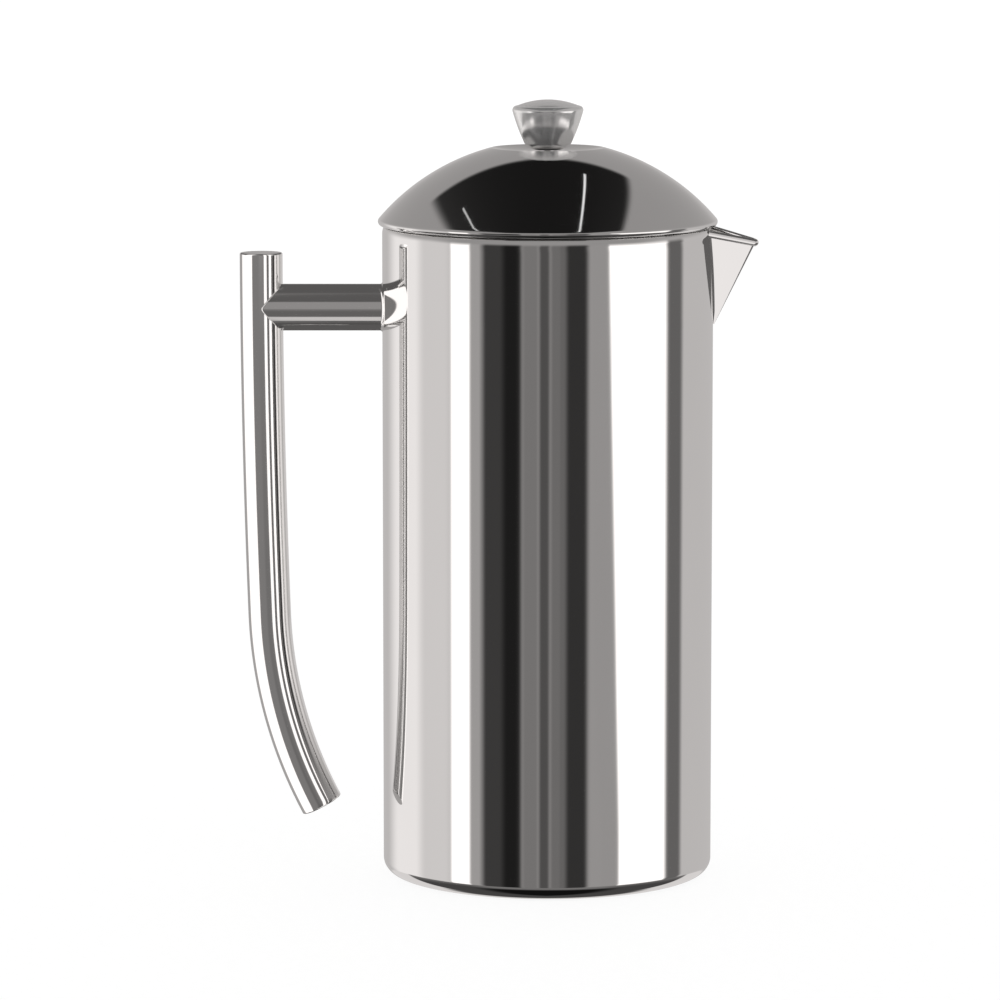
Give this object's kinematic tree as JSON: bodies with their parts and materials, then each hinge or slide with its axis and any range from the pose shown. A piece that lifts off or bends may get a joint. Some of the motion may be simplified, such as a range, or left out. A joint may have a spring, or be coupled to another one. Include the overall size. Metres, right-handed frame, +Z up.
{
  "type": "french press",
  "caption": "Straight-sided double-walled steel coffee press with a domed lid, a flared knob on a sliding rod, a screen filter, a V spout and an open curved tube handle.",
  "frame": {"origin": "on the pot's axis, in the plane of the foot that it stands on", "axes": "+Z up along the pot's axis, +X towards the spout, -X towards the handle"},
  "size_m": [0.1599, 0.1046, 0.2404],
  "materials": {
    "polished_steel": "mirror-polished stainless steel",
    "satin_steel": "satin stainless steel, brushed round the axis",
    "pressed_steel": "pressed stainless steel, fine brushed",
    "steel_mesh": "woven stainless wire mesh",
    "spring_steel": "drawn spring wire"
  },
  "bodies": {
    "pot": {"outer_shell": "polished_steel", "inner_liner": "satin_steel", "base_disc": "pressed_steel", "notch_sleeve": "satin_steel", "spout": "polished_steel", "handle_arm": "polished_steel", "arm_backing_plate": "pressed_steel", "handle_grip": "polished_steel", "grip_top_plug": "polished_steel", "grip_end_plug": "polished_steel"},
    "lid_guide": {"guide_bush": "polished_steel", "bush_nut": "pressed_steel"},
    "lid": {"lid_dome": "polished_steel", "lid_skirt": "satin_steel", "lid_flange": "satin_steel"},
    "filter": {"filter_hub": "pressed_steel", "filter_nut": "pressed_steel", "lock_washer": "pressed_steel", "cross_plate": "pressed_steel", "prefilter_screen": "steel_mesh", "fine_screen": "steel_mesh", "spiral_plate": "pressed_steel", "spring_coil": "spring_steel"},
    "rod": {"plunger_rod": "polished_steel", "knob": "polished_steel"}
  },
  "joints": [
    {"name": "lid_lift", "type": "slide", "parent": "pot", "child": "lid_guide", "axis": [0, 0, 1], "range_m": [0, 0.2]},
    {"name": "lid_turn", "type": "hinge", "parent": "lid_guide", "child": "lid", "pos_m": [0, 0, 0.2], "axis": [0, 0, 1], "continuous": true},
    {"name": "plunger_slide", "type": "slide", "parent": "lid_guide", "child": "filter", "axis": [0, 0, 1], "range_m": [0, 0.16]},
    {"name": "rod_turn", "type": "hinge", "parent": "filter", "child": "rod", "pos_m": [0, 0, 0.03], "axis": [0, 0, 1], "continuous": true}
  ]
}
